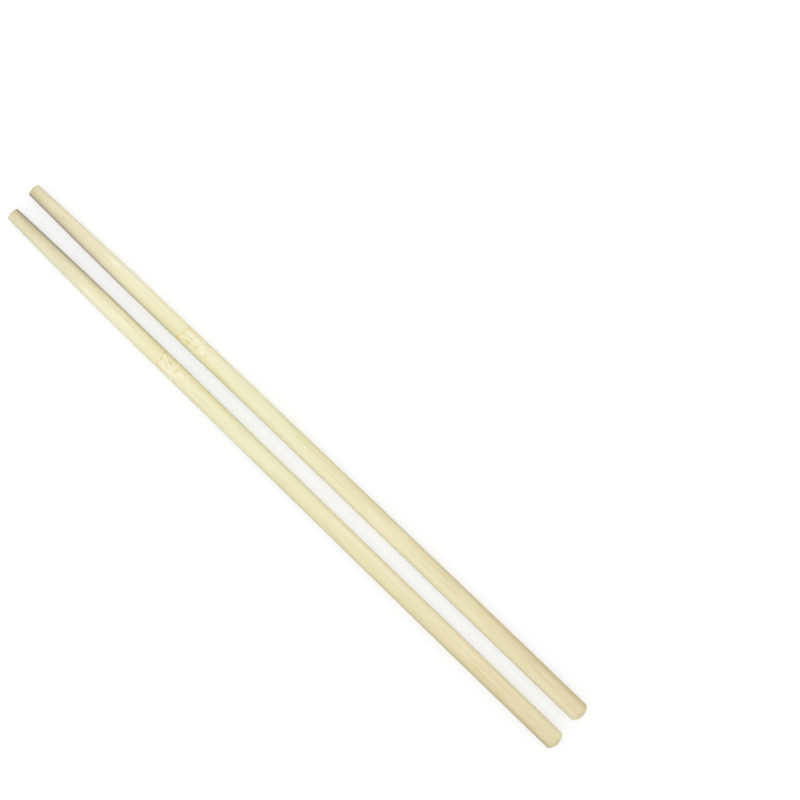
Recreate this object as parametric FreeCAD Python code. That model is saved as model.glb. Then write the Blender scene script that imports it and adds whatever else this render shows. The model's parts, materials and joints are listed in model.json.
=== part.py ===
import FreeCAD, Part

import math
import os

# A pair of round bamboo chopsticks, lying side by side on a table.
# Each stick is one length of bamboo, turned round: a straight grip at the butt, a long slight taper,
# and a steeper taper to the tip. Both ends are domed and their edges are eased.
# A joint of the bamboo crosses each stick about a third of the way up from the tip, where the wood
# swells a little under the sanding.
#
# Frame: +X runs from the tips to the butts, +Y to the stick on the right seen from the butts, +Z up.
# The origin is on the table under the middle of the pair. Sizes are in millimetres.

# One stick, with distances measured along its axis from the tip's end
stick_length = 240.0
grip_diameter = 6.55
grip_length = 40.0
shoulder_diameter = 5.84
shoulder_distance = 35.5
tip_diameter = 4.26

# Half of the length over which one taper runs into the next
grip_blend_reach = 8.0
shoulder_blend_reach = 12.0

# The domed ends, and the eased edge around each dome
butt_dome_height = 1.45
butt_edge_radius = 0.7
tip_dome_height = 0.5
tip_edge_radius = 0.3

# The bamboo's joint: the swelling's middle, length and height over the body
joint_distance = 73.7
joint_length = 10.0
joint_rise = 0.06

# How the pair lies: the distance between the two axes at each end, and how much further towards
# the tips the right stick lies
tip_spacing = 10.2
butt_spacing = 11.95
stagger = 0.5

grip_radius = grip_diameter / 2
shoulder_radius = shoulder_diameter / 2
tip_radius = tip_diameter / 2
grip_start = stick_length - grip_length
body_end = grip_start - grip_blend_reach

# Corners of the profile before they are blended, as (distance from the tip's end, radius)
tip_corner = (0.0, tip_radius)
shoulder_corner = (shoulder_distance, shoulder_radius)
grip_corner = (body_end, grip_radius)
butt_corner = (stick_length, grip_radius)


def between(start, end, distance):
    """The radius at that distance from the tip's end, on the straight line from start to end."""
    share = (distance - start[0]) / (end[0] - start[0])
    return start[1] + share * (end[1] - start[1])


def point(distance, radius):
    """A point of the profile, which is drawn in the XZ plane above the stick's axis."""
    return FreeCAD.Vector(distance, 0, radius)


def blend(before, corner, after, reach):
    """The arc that runs one taper into the next: it starts and ends that reach from their corner."""
    start = point(corner[0] - reach, between(before, corner, corner[0] - reach))
    end = point(corner[0] + reach, between(corner, after, corner[0] + reach))
    chord_radius = (start.z + end.z) / 2
    # A shallow arc passes halfway between its chord and the corner of its two tangents.
    middle = point(corner[0], (chord_radius + corner[1]) / 2)
    return Part.Arc(start, middle, end)


def joint_swelling():
    """Three arcs that rise from the body, cross the joint's crest and fall back to the body."""
    quarter = joint_length / 4

    def swollen(quarters, share_of_rise):
        distance = joint_distance + quarters * quarter
        body = between(shoulder_corner, grip_corner, distance)
        return point(distance, body + share_of_rise * joint_rise)

    return [
        Part.Arc(swollen(-2, 0), swollen(-1.5, 1 / 8), swollen(-1, 1 / 2)),
        Part.Arc(swollen(-1, 1 / 2), swollen(0, 1), swollen(1, 1 / 2)),
        Part.Arc(swollen(1, 1 / 2), swollen(1.5, 1 / 8), swollen(2, 0)),
    ]


def dome(end_distance, height, side_radius, inwards):
    """The arc of a domed end, from its top on the axis to the side of the stick, height further in."""
    sphere_radius = (side_radius**2 + height**2) / (2 * height)
    half_angle = math.asin(side_radius / sphere_radius) / 2
    middle_depth = sphere_radius * (1 - math.cos(half_angle))
    return Part.Arc(
        point(end_distance, 0),
        point(end_distance + inwards * middle_depth, sphere_radius * math.sin(half_angle)),
        point(end_distance + inwards * height, side_radius),
    )


def line(start, end):
    """A straight edge of the profile."""
    return Part.LineSegment(start, end).toShape()


def eased(dome_arc, side, radius, inwards):
    """The dome's arc and the side that starts at its rim, with an arc of that radius between them."""
    profile_plane = Part.Plane(point(0, 0), FreeCAD.Vector(0, inwards, 0))
    easing = Part.ChFi2d.FilletAPI()
    easing.init(dome_arc.toShape(), side, profile_plane)
    easing.perform(radius)
    return easing.result(dome_arc.EndPoint)


def stick_profile():
    """The closed half outline of a stick: domed tip, tapers, joint, grip, domed butt and axis."""
    tip_side_radius = between(tip_corner, shoulder_corner, tip_dome_height)
    tip_dome = dome(0.0, tip_dome_height, tip_side_radius, 1)
    shoulder = blend(tip_corner, shoulder_corner, grip_corner, shoulder_blend_reach)
    swelling = joint_swelling()
    grip = blend(shoulder_corner, grip_corner, butt_corner, grip_blend_reach)
    butt_dome = dome(stick_length, butt_dome_height, grip_radius, -1)
    edges = [
        *eased(tip_dome, line(tip_dome.EndPoint, shoulder.StartPoint), tip_edge_radius, 1),
        shoulder.toShape(),
        line(shoulder.EndPoint, swelling[0].StartPoint),
        *[arc.toShape() for arc in swelling],
        line(swelling[-1].EndPoint, grip.StartPoint),
        grip.toShape(),
        *eased(butt_dome, line(butt_dome.EndPoint, grip.EndPoint), butt_edge_radius, -1),
        line(butt_dome.StartPoint, tip_dome.StartPoint),
    ]
    return Part.Wire(Part.__sortEdges__(edges))


def stick():
    """One stick along +X, with its tip's end at the origin."""
    axis_direction = FreeCAD.Vector(1, 0, 0)
    return Part.Face(stick_profile()).revolve(point(0, 0), axis_direction, 360)


def lay_down(solid, side):
    """Lays a stick on the table: it rests on its joint's crest and on the end of its long taper.

    side is 1 for the right stick and -1 for the left one.
    """
    crest_radius = between(shoulder_corner, grip_corner, joint_distance) + joint_rise
    taper_end = body_end - grip_blend_reach
    taper_end_radius = between(shoulder_corner, grip_corner, taper_end)
    lift = math.atan2(taper_end_radius - crest_radius, taper_end - joint_distance)
    splay = math.asin((butt_spacing - tip_spacing) / 2 / stick_length)
    length_in_x = stick_length * math.cos(lift) * math.cos(splay)
    tip_end = FreeCAD.Vector(
        -length_in_x / 2 - side * stagger / 2,
        side * tip_spacing / 2,
        crest_radius * math.cos(lift) - joint_distance * math.sin(lift),
    )
    tilt = FreeCAD.Rotation(FreeCAD.Vector(0, 1, 0), -math.degrees(lift))
    turn = FreeCAD.Rotation(FreeCAD.Vector(0, 0, 1), side * math.degrees(splay))
    laid = solid.copy()
    laid.Placement = FreeCAD.Placement(tip_end, turn.multiply(tilt))
    return laid


os.makedirs("parts", exist_ok=True)
one_stick = stick()
for name, side in (("chopstick_left", -1), ("chopstick_right", 1)):
    lay_down(one_stick, side).exportStep(f"parts/{name}.step")
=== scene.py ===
import json
import math

import bpy
import numpy as np
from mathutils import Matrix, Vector


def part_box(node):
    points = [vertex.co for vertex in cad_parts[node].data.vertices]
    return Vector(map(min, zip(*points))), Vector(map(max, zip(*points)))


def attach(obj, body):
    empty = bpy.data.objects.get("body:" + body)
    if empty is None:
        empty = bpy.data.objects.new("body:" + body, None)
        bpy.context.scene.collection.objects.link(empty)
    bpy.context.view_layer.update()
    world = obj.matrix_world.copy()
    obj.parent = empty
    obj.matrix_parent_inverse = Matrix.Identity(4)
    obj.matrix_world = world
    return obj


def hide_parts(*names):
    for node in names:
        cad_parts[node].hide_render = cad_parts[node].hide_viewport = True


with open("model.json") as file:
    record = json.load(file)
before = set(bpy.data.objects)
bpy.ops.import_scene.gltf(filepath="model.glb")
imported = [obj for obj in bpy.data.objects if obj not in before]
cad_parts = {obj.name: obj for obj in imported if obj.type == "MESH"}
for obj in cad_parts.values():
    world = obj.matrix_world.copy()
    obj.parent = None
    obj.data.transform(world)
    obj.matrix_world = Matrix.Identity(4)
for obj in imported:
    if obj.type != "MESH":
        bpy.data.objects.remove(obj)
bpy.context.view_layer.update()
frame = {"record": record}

# The two chopsticks. Each is one strip split from the wall of a bamboo culm, turned to a round
# taper, domed at both ends, sanded smooth and left bare. They lie loose, one beside the other.

mm = 0.001
grip_length = 40.0 * mm
grip_blend = 8.0 * mm
shoulder_distance = 35.5 * mm
shoulder_diameter = 5.84 * mm
shoulder_blend = 12.0 * mm
tip_diameter = 4.26 * mm

butt_dome_height = 1.45 * mm
butt_edge_radius = 0.7 * mm
tip_dome_height = 0.5 * mm
tip_edge_radius = 0.3 * mm

# The joint of the bamboo: a swelling, highest on the side that faces the other stick, with the
# scar of the leaf sheath round its tip side
joint_distance = 73.7 * mm
joint_length = 10.0 * mm
joint_rise = 0.06 * mm
joint_lean = 0.05 * mm
scar_distance = 65.8 * mm
scar_slant = 0.5 * mm
scar_stain_width = 0.55 * mm
scar_groove_width = 0.33 * mm
scar_groove_depth = 0.00225 * mm

# What turning and sanding leave: a bow along the stick, a section that isn't quite round and turns
# as it goes along, a wavering side, and the fibres' ribs, long and short. Their heights wander from
# one random value to the next, so far along the stick and so many times round it.
bow = 0.15 * mm
out_of_round = 0.018 * mm
section_turn = 2.5 * math.pi
waver = 0.022 * mm
waver_length = 17 * mm
wavers_round = 5
long_rib = 0.009 * mm
long_rib_length = 14 * mm
long_ribs_round = 64
short_rib = 0.0054 * mm
short_rib_length = 5 * mm
short_ribs_round = 36

# How far round a fibre strays where it crosses the joint, in radians, and how that wanders
tangle = 0.14
tangle_length = 1.7 * mm
tangles_round = 11

# Each end's cut face gives way to the turned side between these shares of the radius
cut_edge = (0.6, 0.98)

# The starts of the random heights of each stick, and of the stains under both
height_seeds = {"left": 11, "right": 12}
stain_seed = 7

rows_round = 128
rows_to_joint = 105
rows_over_joint = 130
rows_to_butt = 310
rows_in_dome = 16


def side_radius(distance, grip_radius, length):
    """The radius of the side at a distance from the tip's end.

    Straight tapers run from the tip to the shoulder and on to the grip, which is straight. Where
    two meet, a parabola rounds the corner: it adds the change of slope times the square of the
    reach that is left, over four times the reach.
    """
    corners = np.array([0, shoulder_distance, length - grip_length - grip_blend, length])
    radii = np.array([tip_diameter / 2, shoulder_diameter / 2, grip_radius, grip_radius])
    radius = np.interp(distance, corners, radii)
    changes = np.diff(np.diff(radii) / np.diff(corners))
    for corner, reach, change in zip(corners[1:3], (shoulder_blend, grip_blend), changes):
        left = np.clip(reach - np.abs(distance - corner), 0, None)
        radius = radius + change * left**2 / (4 * reach)
    return radius


def domed_end(rim_radius, height, edge_radius):
    """Depths below the end's top, and radii, from beside the axis to the side.

    A sphere passes through the top and, at that height, the rim. Then an arc of the edge's radius
    turns from the sphere to the side. On each, depth is the centre's depth less the arc's radius
    times the cosine of the angle from the axis, and the sine gives the radius.
    """
    sphere = (rim_radius**2 + height**2) / (2 * height)
    edge_centre = rim_radius - edge_radius
    turn = math.asin(edge_centre / (sphere - edge_radius))
    edge_depth = sphere - math.sqrt((sphere - edge_radius) ** 2 - edge_centre**2)
    on_sphere = np.linspace(0, turn, rows_in_dome)[1:]
    on_edge = np.linspace(turn, math.pi / 2, rows_in_dome // 2)[1:]
    depths = [sphere * (1 - np.cos(on_sphere)), edge_depth - edge_radius * np.cos(on_edge)]
    radii = [sphere * np.sin(on_sphere), edge_centre + edge_radius * np.sin(on_edge)]
    return np.concatenate(depths), np.concatenate(radii)


def outline(grip_radius, length):
    """Distances from the tip's end, and radii, along the whole outline: dome, side and dome."""
    tip_rim = float(side_radius(tip_dome_height, grip_radius, length))
    tip_depths, tip_radii = domed_end(tip_rim, tip_dome_height, tip_edge_radius)
    butt_depths, butt_radii = domed_end(grip_radius, butt_dome_height, butt_edge_radius)
    joint_start = scar_distance - 3 * mm
    joint_end = joint_distance + joint_length / 2 + mm
    side = np.concatenate([
        np.linspace(tip_depths[-1], joint_start, rows_to_joint)[1:],
        np.linspace(joint_start, joint_end, rows_over_joint)[1:],
        np.linspace(joint_end, length - butt_depths[-1], rows_to_butt)[1:-1],
    ])
    side_radii = side_radius(side, grip_radius, length)
    distances = np.concatenate([tip_depths, side, length - butt_depths[::-1]])
    radii = np.concatenate([tip_radii, side_radii, butt_radii[::-1]])
    return distances, radii


def wandering(random, distance, angle, length, places):
    """Smooth noise from -1 to 1 over the side of a stick.

    It has a random height at each length along and at so many places round, and the S-curve of
    three times the share's square less twice its cube from each height to the next.
    """
    heights = random.uniform(-1, 1, (int(distance.max() / length) + 2, places))
    along = distance / length
    around = angle / (2 * math.pi) * places
    row, column = np.floor(along).astype(int), np.floor(around).astype(int)
    u, v = along - row, around - column
    u, v = u * u * (3 - 2 * u), v * v * (3 - 2 * v)
    here, beyond = column % places, (column + 1) % places
    near = heights[row, here] * (1 - v) + heights[row, beyond] * v
    far = heights[row + 1, here] * (1 - v) + heights[row + 1, beyond] * v
    return near * (1 - u) + far * u


def s_curve(value, low, high):
    """0 below low and 1 above high. Between, three times the share's square less twice its cube."""
    share = np.clip((value - low) / (high - low), 0, 1)
    return share * share * (3 - 2 * share)


def bell(distance, angle, middle, direction, half_length, half_turn):
    """A smooth spot: e to the minus squares of how far along and how far round, in half widths."""
    round_by = (np.degrees(angle) - direction + 180) % 360 - 180
    return np.exp(-(((distance - middle) / half_length) ** 2) - (round_by / half_turn) ** 2)


# Angles go round a stick from 0 on the outer side, over the top at 90, to 180 where it faces the
# other stick. Each spot is (distance, angle, half length, half turn, strength). Stains are the brown
# flecks, nearly all at the joint. Grey fibres are as dark as the bark side; the two on both flanks at
# the tip are painted shade. Pale patches are as light as the pith; the strong one on the shoulder and
# the three after it along the top are a painted highlight, and the rest are the wood's own.
stains = (
    (51.0 * mm, 146, 11.0 * mm, 9, 0.5),
    (66.1 * mm, 70, 0.7 * mm, 6, 0.45),
    (66.1 * mm, 88, 0.7 * mm, 8, 0.75),
    (65.8 * mm, 108, 0.6 * mm, 7, 0.5),
    (65.7 * mm, 137, 1.2 * mm, 9, 0.8),
    (68.0 * mm, 37, 3.2 * mm, 10, 0.85),
    (68.7 * mm, 82, 0.7 * mm, 5, 0.5),
    (67.9 * mm, 119, 1.2 * mm, 6, 0.6),
    (69.0 * mm, 112, 0.6 * mm, 7, 0.95),
    (71.6 * mm, 101, 1.2 * mm, 4, 0.75),
    (72.4 * mm, 90, 0.5 * mm, 5, 0.5),
    (72.3 * mm, 105, 0.5 * mm, 10, 0.85),
    (73.8 * mm, 138, 1.2 * mm, 6, 0.8),
    (74.0 * mm, 40, 1.2 * mm, 9, 0.5),
    (75.4 * mm, 124, 0.9 * mm, 5, 0.5),
    (76.4 * mm, 62, 1.6 * mm, 6, 0.55),
    (79.5 * mm, 28, 4.0 * mm, 8, 0.5),
)
grey_fibres_and_shade = (
    # The first two darken both flanks near the tip: painted shade
    (2.0 * mm, 30, 7.0 * mm, 22, 0.16),
    (2.0 * mm, 136, 8.0 * mm, 14, 0.22),
    (14.0 * mm, 115, 16.0 * mm, 7, 0.18),
    (44.0 * mm, 103, 9.0 * mm, 5, 0.08),
    (57.0 * mm, 108, 6.0 * mm, 8, 0.04),
    (68.7 * mm, 82, 0.8 * mm, 5, 0.3),
    (69.0 * mm, 112, 0.7 * mm, 7, 0.3),
    (74.2 * mm, 32, 1.6 * mm, 10, 0.2),
    (74.9 * mm, 148, 1.8 * mm, 8, 0.2),
    (80.5 * mm, 26, 4.0 * mm, 8, 0.15),
    (77.6 * mm, 114, 1.4 * mm, 9, 0.08),
    (226.0 * mm, 92, 9.0 * mm, 6, 0.1),
)
pale_patches_and_highlight = (
    (11.0 * mm, 68, 10.0 * mm, 12, 0.45),
    # This spot, on the shoulder, and the next three along the top are a painted highlight
    (34.9 * mm, 66, 2.4 * mm, 8, 2.8),
    (43.0 * mm, 60, 7.0 * mm, 12, 0.9),
    (48.0 * mm, 88, 8.0 * mm, 8, 0.9),
    (56.0 * mm, 66, 5.0 * mm, 9, 0.8),
    (67.6 * mm, 66, 0.9 * mm, 9, 0.9),
    (69.9 * mm, 68, 1.2 * mm, 11, 1.0),
    (70.6 * mm, 124, 0.8 * mm, 9, 0.9),
    (70.3 * mm, 92, 0.7 * mm, 5, 0.8),
    (74.0 * mm, 104, 1.3 * mm, 13, 1.0),
    (77.4 * mm, 84, 1.8 * mm, 12, 0.5),
)

# A faint stain follows the scar round, and more stains lie in random places below the joint
scar_stain = 0.35
hidden_stains = 16
hidden_strength = 0.7
hidden_angles = (200, 340)
hidden_half_lengths = (0.3 * mm, 1.0 * mm)
hidden_half_turns = (5, 10)
deepest_stain = 1.3

# The stick has a darker side that lies towards the other stick at the tip, passes underneath, and
# comes out on the outer side at the butt. It is partly the bark side of a strip split a little across
# the grain, and partly painted shade on the flanks. These are its angles and how dark it is, at
# shares of the length from the tip's end.
bark_and_shade_shares = (0, 0.1, 0.18, 0.29, 0.4, 0.5, 0.6, 0.84, 1)
bark_and_shade_angles = (169, 170, 175, 185, 250, 350, 360, 372, 375)
bark_and_shade_depths = (1.2, 1.0, 0.72, 0.45, 0.35, 0.22, 0.3, 0.34, 0.4)

# Across the section, the darker side is a dark band at the flank's edge, which is painted shade,
# fading out through a fainter one. The lighter pith side is opposite, partly a painted lift of light
# on that flank. These are the bands' strengths, and where each starts and is full, in shares of the
# radius towards the bark, or for the pith away from it.
shade_band_strength = 0.8
shade_band_edge = (0.72, 1)
faint_strength = 0.2
faint_edge = (0.35, 0.72)
pith_and_light_edge = (-0.2, 0.6)


def spotted(spots, distance, angle):
    """The sum of a table's spots."""
    total = np.zeros(distance.shape)
    for middle, direction, half_length, half_turn, strength in spots:
        total += strength * bell(distance, angle, middle, direction, half_length, half_turn)
    return total


def from_scar(distance, angle):
    """How far past the scar a point lies: the scar's slant times the cosine of the angle moves it."""
    return distance - (scar_distance + scar_slant * np.cos(angle))


def stained(distance, angle):
    """How brown the flecks are: the scar's ring, the table's spots and the hidden ones, added."""
    random = np.random.default_rng(stain_seed)
    stain = scar_stain * np.exp(-((from_scar(distance, angle) / scar_stain_width) ** 2))
    stain = stain + spotted(stains, distance, angle)
    for spot in range(hidden_stains):
        middle = random.uniform(scar_distance, joint_distance + mm)
        direction = random.uniform(*hidden_angles)
        half_length = random.uniform(*hidden_half_lengths)
        half_turn = random.uniform(*hidden_half_turns)
        hidden = bell(distance, angle, middle, direction, half_length, half_turn)
        stain = stain + hidden_strength * hidden
    return np.clip(stain, 0, deepest_stain)


def bark_shade_and_pith_light(distance, angle, out, length):
    """How far a point belongs to the darker side, bark and painted shade, and to the lighter pith
    side, pith and painted light.

    Out is its share of the radius. That times the cosine of its angle from the bark's middle says
    how far towards the bark it lies, and S-curves turn that into the bands.
    """
    bark_and_shade_angle = np.radians(np.interp(distance / length, bark_and_shade_shares, bark_and_shade_angles))
    towards = out * np.cos(angle - bark_and_shade_angle)
    bands = shade_band_strength * s_curve(towards, *shade_band_edge)
    bands = bands + faint_strength * s_curve(towards, *faint_edge)
    bark = np.interp(distance / length, bark_and_shade_shares, bark_and_shade_depths) * bands
    return bark, s_curve(-towards, *pith_and_light_edge)


def relief(random, distance, angle, length):
    """How far the side stands out from the outline.

    It adds up the joint's swelling, a squared cosine along the stick that is less on the outer side
    by the cosine of the angle, the scar's groove, a wave of two humps round the section, the
    wavering, and the two kinds of rib.
    """
    humps = np.cos(math.pi * (distance - joint_distance) / joint_length) ** 2
    swelling = np.where(np.abs(distance - joint_distance) < joint_length / 2, humps, 0)
    groove = np.exp(-((from_scar(distance, angle) / scar_groove_width) ** 2))
    section = np.cos(2 * angle + section_turn * distance / length)
    wavering = wandering(random, distance, angle, waver_length, wavers_round)
    long_ribs = wandering(random, distance, angle, long_rib_length, long_ribs_round)
    short_ribs = wandering(random, distance, angle, short_rib_length, short_ribs_round)
    return (
        swelling * (joint_rise - joint_lean * np.cos(angle))
        - scar_groove_depth * groove
        + out_of_round * section
        + waver * wavering
        + long_rib * long_ribs
        + short_rib * short_ribs
    )


def skin(rings):
    """The faces of a closed tube, as rows of point numbers: four-sided ones, then both ends' fans.

    Its points are those rings one after another, and then a pole at each end. Faces point out of a
    tube whose angles turn from its outward to its upward direction as a right hand does.
    """
    ring_start = np.arange(rings - 1)[:, None] * rows_round
    here = np.arange(rows_round)
    after = (here + 1) % rows_round
    quads = np.stack([
        ring_start + here,
        ring_start + after,
        ring_start + rows_round + after,
        ring_start + rows_round + here,
    ], axis=-1).reshape(-1, 4)
    last_ring = (rings - 1) * rows_round
    tip_pole = np.full(rows_round, rings * rows_round)
    tip_fan = np.stack([tip_pole, after, here], axis=1)
    butt_fan = np.stack([tip_pole + 1, last_ring + here, last_ring + after], axis=1)
    return quads, tip_fan, butt_fan


def turned_stick(side):
    """The mesh of one stick, a grid of points round its axis, and the stick's length.

    A point lies on the axis at its distance from the tip's end, and then its radius times the
    cosine of its angle outwards and times the sine upwards. The radius is the outline's plus the
    relief. The bow moves it outwards by a sine along the stick, less that sine's mean.
    """
    grip = next(m for m in frame["record"]["mounts"] if m["name"] == f"{side}_grip")
    low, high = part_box(f"chopstick_{side}")
    axis = Vector(grip["axis"]).normalized()
    on_axis = Vector(grip["pos_m"])
    tip = on_axis + axis * ((low.x - on_axis.x) / axis.x)
    length = (high.x - low.x) / axis.x
    outwards = Vector((0, 0, 1)).cross(axis).normalized()
    upwards = axis.cross(outwards)
    if side == "left":
        outwards = -outwards

    grip_radius = grip["dims"]["r_mm"] * mm
    distances, radii = outline(grip_radius, length)
    angles = np.arange(rows_round) * 2 * math.pi / rows_round
    distance, angle = np.meshgrid(distances, angles, indexing="ij")
    random = np.random.default_rng(height_seeds[side])
    out = (radii / side_radius(distances, grip_radius, length))[:, None]
    turned = s_curve(out, *cut_edge)
    radius = radii[:, None] + turned * relief(random, distance, angle, length)
    sideways = bow * (np.sin(math.pi * distance / length) - 2 / math.pi)

    def with_poles(along, across, above, pole_shift=0.0):
        """The grid's points and then the two poles, as rows of three."""
        grid = np.stack([along.ravel(), across.ravel(), above.ravel()], axis=1)
        return np.concatenate([grid, [[0, pole_shift, 0], [length, pole_shift, 0]]])

    across = radius * np.cos(angle) + sideways
    above = radius * np.sin(angle)
    local = with_poles(distance, across, above, pole_shift=sideways.min())
    points = np.array(tip) + local @ np.array([axis, outwards, upwards])

    knotted = s_curve(distance, scar_distance - 2 * mm, scar_distance + mm)
    knotted = knotted * s_curve(distance, joint_distance + joint_length, joint_distance)
    strayed = wandering(random, distance, angle, tangle_length, tangles_round)
    bent = angle + tangle * knotted * strayed
    grain = with_poles(distance, radii[:, None] * np.cos(bent), radii[:, None] * np.sin(bent))

    facing_out = skin(len(distances))
    if side == "left":
        facing_out = [faces[:, ::-1] for faces in facing_out]
    faces = [face for group in facing_out for face in group.tolist()]

    mesh = bpy.data.meshes.new(f"bamboo_stick_{side}")
    mesh.from_pydata(points.tolist(), [], faces)
    mesh.shade_smooth()
    bark, pith = bark_shade_and_pith_light(distance, angle, out, length)
    marks = {
        "stain": stained(distance, angle),
        "bark": bark + spotted(grey_fibres_and_shade, distance, angle),
        "pith": pith,
        "knot": knotted,
        "cut": np.broadcast_to(1 - turned, distance.shape),
        "pale": spotted(pale_patches_and_highlight, distance, angle),
    }
    for name, values in marks.items():
        on_poles = [values[0].mean(), values[-1].mean()]
        attribute = mesh.attributes.new(name, "FLOAT", "POINT")
        attribute.data.foreach_set("value", np.concatenate([values.ravel(), on_poles]))
    attribute = mesh.attributes.new("grain", "FLOAT_VECTOR", "POINT")
    attribute.data.foreach_set("vector", (grain / mm).ravel())
    return mesh, length


class Wire:
    """An output in a material's nodes. Arithmetic on it adds Math nodes, and node() any other."""

    def __init__(self, tree, output=None):
        self.tree = tree
        self.output = output

    def node(self, kind, settings, inputs, output=0):
        """A node of that type: its settings are set first, then its inputs' values or links."""
        made = self.tree.nodes.new(kind)
        for name, value in settings.items():
            if name == "stops":
                ramp = made.color_ramp.elements
                while len(ramp) < len(value):
                    ramp.new(1)
                for element, (position, colour) in zip(ramp, value):
                    element.position = position
                    element.color = colour
            else:
                setattr(made, name, value)
        for name, value in inputs.items():
            if isinstance(value, Wire):
                self.tree.links.new(value.output, made.inputs[name])
            else:
                made.inputs[name].default_value = value
        return Wire(self.tree, made.outputs[output]) if made.outputs else None

    def math(self, operation, first, second):
        """One sum, difference or product."""
        return self.node("ShaderNodeMath", {"operation": operation}, {0: first, 1: second})

    def __add__(self, other):
        return self.math("ADD", self, other)

    def __radd__(self, other):
        return self.math("ADD", other, self)

    def __sub__(self, other):
        return self.math("SUBTRACT", self, other)

    def __rsub__(self, other):
        return self.math("SUBTRACT", other, self)

    def __mul__(self, other):
        return self.math("MULTIPLY", self, other)

    def __rmul__(self, other):
        return self.math("MULTIPLY", other, self)

    def between(self, low, high):
        """0 at low and 1 at high, with an S-curve between. High may be the lower number."""
        limits = {"Value": self, "From Min": low, "From Max": high}
        return self.node("ShaderNodeMapRange", {"interpolation_type": "SMOOTHSTEP"}, limits)

    def mix(self, first, second):
        """The first colour where this is 0 and the second where it is 1."""
        settings = {"data_type": "RGBA"}
        return self.node("ShaderNodeMix", settings, {0: self, 6: first, 7: second}, output=2)

    def stretched(self, size, offset):
        """These coordinates in units of the size's length along the grain and width across it."""
        length, width = size
        scale = (1 / length, 1 / width, 1 / width)
        settings = {"vector_type": "POINT"}
        inputs = {"Vector": self, "Scale": scale, "Location": (offset, offset, offset)}
        return self.node("ShaderNodeMapping", settings, inputs)

    def noise(self, detail=2.0, roughness=0.5):
        """Smooth random values near a half, one blob to each unit of these coordinates."""
        inputs = {"Vector": self, "Scale": 1.0, "Detail": detail, "Roughness": roughness}
        return self.node("ShaderNodeTexNoise", {"noise_dimensions": "3D"}, inputs)

    def cells(self):
        """The distance to the middle of the nearest of randomly placed cells."""
        return self.node("ShaderNodeTexVoronoi", {"feature": "F1"}, {"Vector": self, "Scale": 1.0})


def paint(red, green, blue):
    """A colour as a shader takes it, from the 0 to 255 of a paint chart."""
    chart = np.array([red, green, blue]) / 255
    linear = np.where(chart > 0.04045, ((chart + 0.055) / 1.055) ** 2.4, chart / 12.92)
    return (*linear.tolist(), 1.0)


# The wood's own colour, at shares of the length from the tip's end to the butt's end
wood_colours = (
    (0.00, paint(217, 205, 166)),
    (0.08, paint(230, 220, 183)),
    (0.19, paint(241, 236, 197)),
    (0.28, paint(236, 231, 181)),
    (0.43, paint(232, 230, 183)),
    (0.60, paint(236, 228, 184)),
    (0.80, paint(232, 220, 177)),
    (1.00, paint(225, 212, 168)),
)
fibre_brown = paint(196, 170, 112)
pith_cream = paint(250, 246, 220)
# The darker side's grey and tan: a bark tint and painted shade on the flanks
bark_and_shade_grey = paint(174, 167, 145)
bark_and_shade_tan = paint(158, 142, 98)
# A tan for the domed ends: end grain, and painted shade of the rounded end
end_grain_and_shade_tan = paint(206, 192, 148)
stain_orange = paint(239, 203, 121)
stain_brown = paint(196, 163, 104)

# How long each pattern's pieces are along the grain, and how wide across it, in millimetres
bundle_size = (42, 0.62)
fibre_size = (11, 0.17)
streak_size = (60, 1.1)
cloud_size = (16, 4.5)
fleck_size = (0.8, 0.42)
mottle_size = (1.5, 0.6)

# Where in the patterns each stick starts, so that no two have the same fibres
grain_starts = {"left": 17.0, "right": 61.0}


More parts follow.
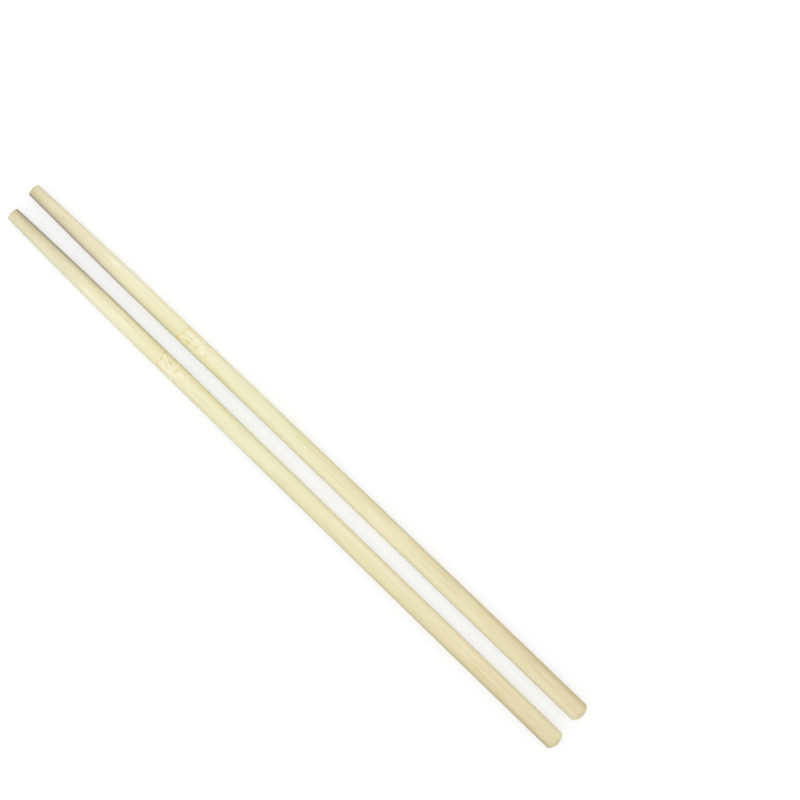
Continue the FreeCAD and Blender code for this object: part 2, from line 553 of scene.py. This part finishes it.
def bamboo(name, stick_length, offset):
    """Bare sanded bamboo: fibre bundles run along cream wood, as streaks and, on the ends, dots.

    The grain attribute holds a point's place in a straight strip, and the patterns read it.
    """
    material = bpy.data.materials.new(name)
    material.use_nodes = True
    material.node_tree.nodes.clear()
    start = Wire(material.node_tree)

    def mark(attribute):
        return start.node("ShaderNodeAttribute", {"attribute_name": attribute}, {}, output="Fac")

    # The joints' flecks and mottling start at the same place on both sticks, which are a pair.
    grain = start.node("ShaderNodeAttribute", {"attribute_name": "grain"}, {}, output="Vector")
    distance = grain.node("ShaderNodeSeparateXYZ", {}, {"Vector": grain})
    share = distance * (mm / stick_length)
    bundles = grain.stretched(bundle_size, offset).cells().between(0.42, 0.12)
    fibres = grain.stretched(fibre_size, offset).noise(detail=3)
    streaks = grain.stretched(streak_size, offset + 5).noise()
    clouds = grain.stretched(cloud_size, offset + 9).noise()
    flecks = grain.stretched(fleck_size, 3).noise(detail=3, roughness=0.65)
    mottle = grain.stretched(mottle_size, 8).noise(detail=4, roughness=0.6)

    # The wood, its bundles and fibres, and then the marks over them
    ramp_settings = {"stops": wood_colours}
    wood = share.node("ShaderNodeValToRGB", ramp_settings, {"Fac": share}, output="Color")
    bundle_depth = streaks.between(0.25, 0.75) * 0.42 + mark("cut") * 0.25
    wood = (bundles * bundle_depth).mix(wood, fibre_brown)
    wood = (fibres.between(0.52, 0.75) * 0.26).mix(wood, fibre_brown)
    wood = (fibres.between(0.5, 0.28) * 0.42).mix(wood, pith_cream)
    wood = (clouds.between(0.5, 0.85) * 0.25).mix(wood, pith_cream)
    # Pale patches of the wood, and a painted highlight on the shoulder and along the top after it
    wood = (mark("pale") * (0.2 + 0.5 * fibres)).mix(wood, pith_cream)
    # The side opposite the bark made lighter: a pith tint and painted light on that flank
    wood = (mark("pith") * (0.22 + 0.2 * fibres)).mix(wood, pith_cream)
    wood = (mark("knot") * mottle.between(0.44, 0.62) * 0.75).mix(wood, pith_cream)
    wood = (mark("knot") * mottle.between(0.48, 0.32) * 0.3).mix(wood, stain_orange)
    # The darker side, grey at the tip and tan at the butt: a bark tint and painted shade on the
    # flanks
    bark_and_shade_colour = share.between(0.2, 0.5).mix(bark_and_shade_grey, bark_and_shade_tan)
    wood = (mark("bark") * (0.35 + fibres)).mix(wood, bark_and_shade_colour)
    # The domed ends a little tan: end grain and painted shade
    wood = (mark("cut") * 0.1).mix(wood, end_grain_and_shade_tan)
    stain = mark("stain") + 1.3 * (flecks - 0.5)
    wood = (stain.between(0.2, 0.8) * 0.45).mix(wood, stain_orange)
    wood = (stain.between(0.65, 1.3) * 0.35).mix(wood, stain_brown)

    height = fibres * 0.6 + bundles * 0.4 - stain.between(0.3, 0.9) * 0.4
    bump = {"Height": height, "Strength": 0.5, "Distance": 0.03 * mm}
    normal = height.node("ShaderNodeBump", {}, bump)
    roughness = 0.45 + 0.2 * fibres
    surface = {
        "Base Color": wood,
        "Roughness": roughness,
        "Normal": normal,
        "IOR": 1.45,
        "Specular IOR Level": 0.3,
    }
    shader = normal.node("ShaderNodeBsdfPrincipled", {}, surface)
    shader.node("ShaderNodeOutputMaterial", {}, {"Surface": shader})
    return material


for side, grain_start in grain_starts.items():
    mesh, stick_length = turned_stick(side)
    mesh.materials.append(bamboo(f"bamboo_{side}", stick_length, grain_start))
    stick = bpy.data.objects.new(f"bamboo_stick_{side}", mesh)
    bpy.context.scene.collection.objects.link(stick)
    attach(stick, "root")
    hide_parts(f"chopstick_{side}")


# The table: a white sheet under the sticks, large enough to run out of every view. Part of its
# white glows and part is lit, so that the sticks' shadow stays pale. It throws a little less light
# back at them than white paper would.

table_width = 8.0
table_glow = 0.55
table_shade = 0.5
table_bounce = 0.6

corner = table_width / 2
table_mesh = bpy.data.meshes.new("table")
table_mesh.from_pydata(
    [(-corner, -corner, 0), (corner, -corner, 0), (corner, corner, 0), (-corner, corner, 0)],
    [],
    [(0, 1, 2, 3)],
)
paper = bpy.data.materials.new("white_paper")
paper.use_nodes = True
paper.node_tree.nodes.clear()
start = Wire(paper.node_tree)


def seen_directly(start):
    """1 for light that reaches the camera straight, or by a mirror or glass, and 0 for the rest."""
    rays = ("Is Camera Ray", "Is Glossy Ray", "Is Transmission Ray")
    seen = [start.node("ShaderNodeLightPath", {}, {}, output=ray) for ray in rays]
    return (seen[0] + seen[1] + seen[2]).between(0, 1)


seen = seen_directly(start)
thrown_back = [table_bounce] * 3 + [1]
shaded = [table_shade] * 3 + [1]
diffuse = seen.node("ShaderNodeBsdfDiffuse", {}, {"Color": seen.mix(thrown_back, shaded)})
glow = seen.node("ShaderNodeEmission", {}, {"Strength": seen * table_glow})
sheet = glow.node("ShaderNodeAddShader", {}, {0: diffuse, 1: glow})
sheet.node("ShaderNodeOutputMaterial", {}, {"Surface": sheet})
table_mesh.materials.append(paper)
table = bpy.data.objects.new("table", table_mesh)
bpy.context.scene.collection.objects.link(table)


# The light: a white tent all round, and one large soft lamp high above, over the tips.
# Together they light a level surface to about its own colour.

tent_level = 0.92
lamp_level = 0.11
lamp_width = 0.9
lamp_height = 1.0
lamp_offset = Vector((-0.3, 0, 0))

world = bpy.data.worlds.new("white_tent")
world.use_nodes = True
world.node_tree.nodes.clear()
start = Wire(world.node_tree)
seen = seen_directly(start)
strength = tent_level + (1 - tent_level) * seen
tent = strength.node("ShaderNodeBackground", {}, {"Color": (1, 1, 1, 1), "Strength": strength})
tent.node("ShaderNodeOutputWorld", {}, {"Surface": tent})
bpy.context.scene.world = world

lamp_data = bpy.data.lights.new("softbox", "AREA")
lamp_data.shape = "SQUARE"
lamp_data.size = lamp_width
lamp = bpy.data.objects.new("softbox", lamp_data)
lamp.location = lamp_offset + Vector((0, 0, lamp_height))
lamp.rotation_mode = "QUATERNION"
lamp.rotation_quaternion = lamp.location.to_track_quat("Z", "Y")
lamp.visible_camera = False
bpy.context.scene.collection.objects.link(lamp)

# A square lamp of a given power gives a level surface below it that power times the squared
# cosine over pi and the squared distance, and a white surface sends on that light over pi.
lamp_distance = lamp.location.length
lamp_cosine = lamp_height / lamp_distance
lamp_data.energy = lamp_level * math.pi**2 * lamp_distance**2 / lamp_cosine


# The camera looks straight down, turned so that the sticks run from the picture's upper left to
# its lower right, as in the photograph.

view_width = 251.9 * mm
view_distance = 1200 * mm
view_turn = 43.97
view_middle = (9.3 * mm, 37.45 * mm)
stick_middle_height = 3.2 * mm

camera_data = bpy.data.cameras.new("camera")
camera_data.lens = camera_data.sensor_width * view_distance / view_width
camera = bpy.data.objects.new("camera", camera_data)
camera.location = (*view_middle, stick_middle_height + view_distance)
camera.rotation_euler = (0, 0, math.radians(view_turn))
bpy.context.scene.collection.objects.link(camera)
bpy.context.scene.camera = camera

bpy.context.scene.view_settings.view_transform = "Standard"

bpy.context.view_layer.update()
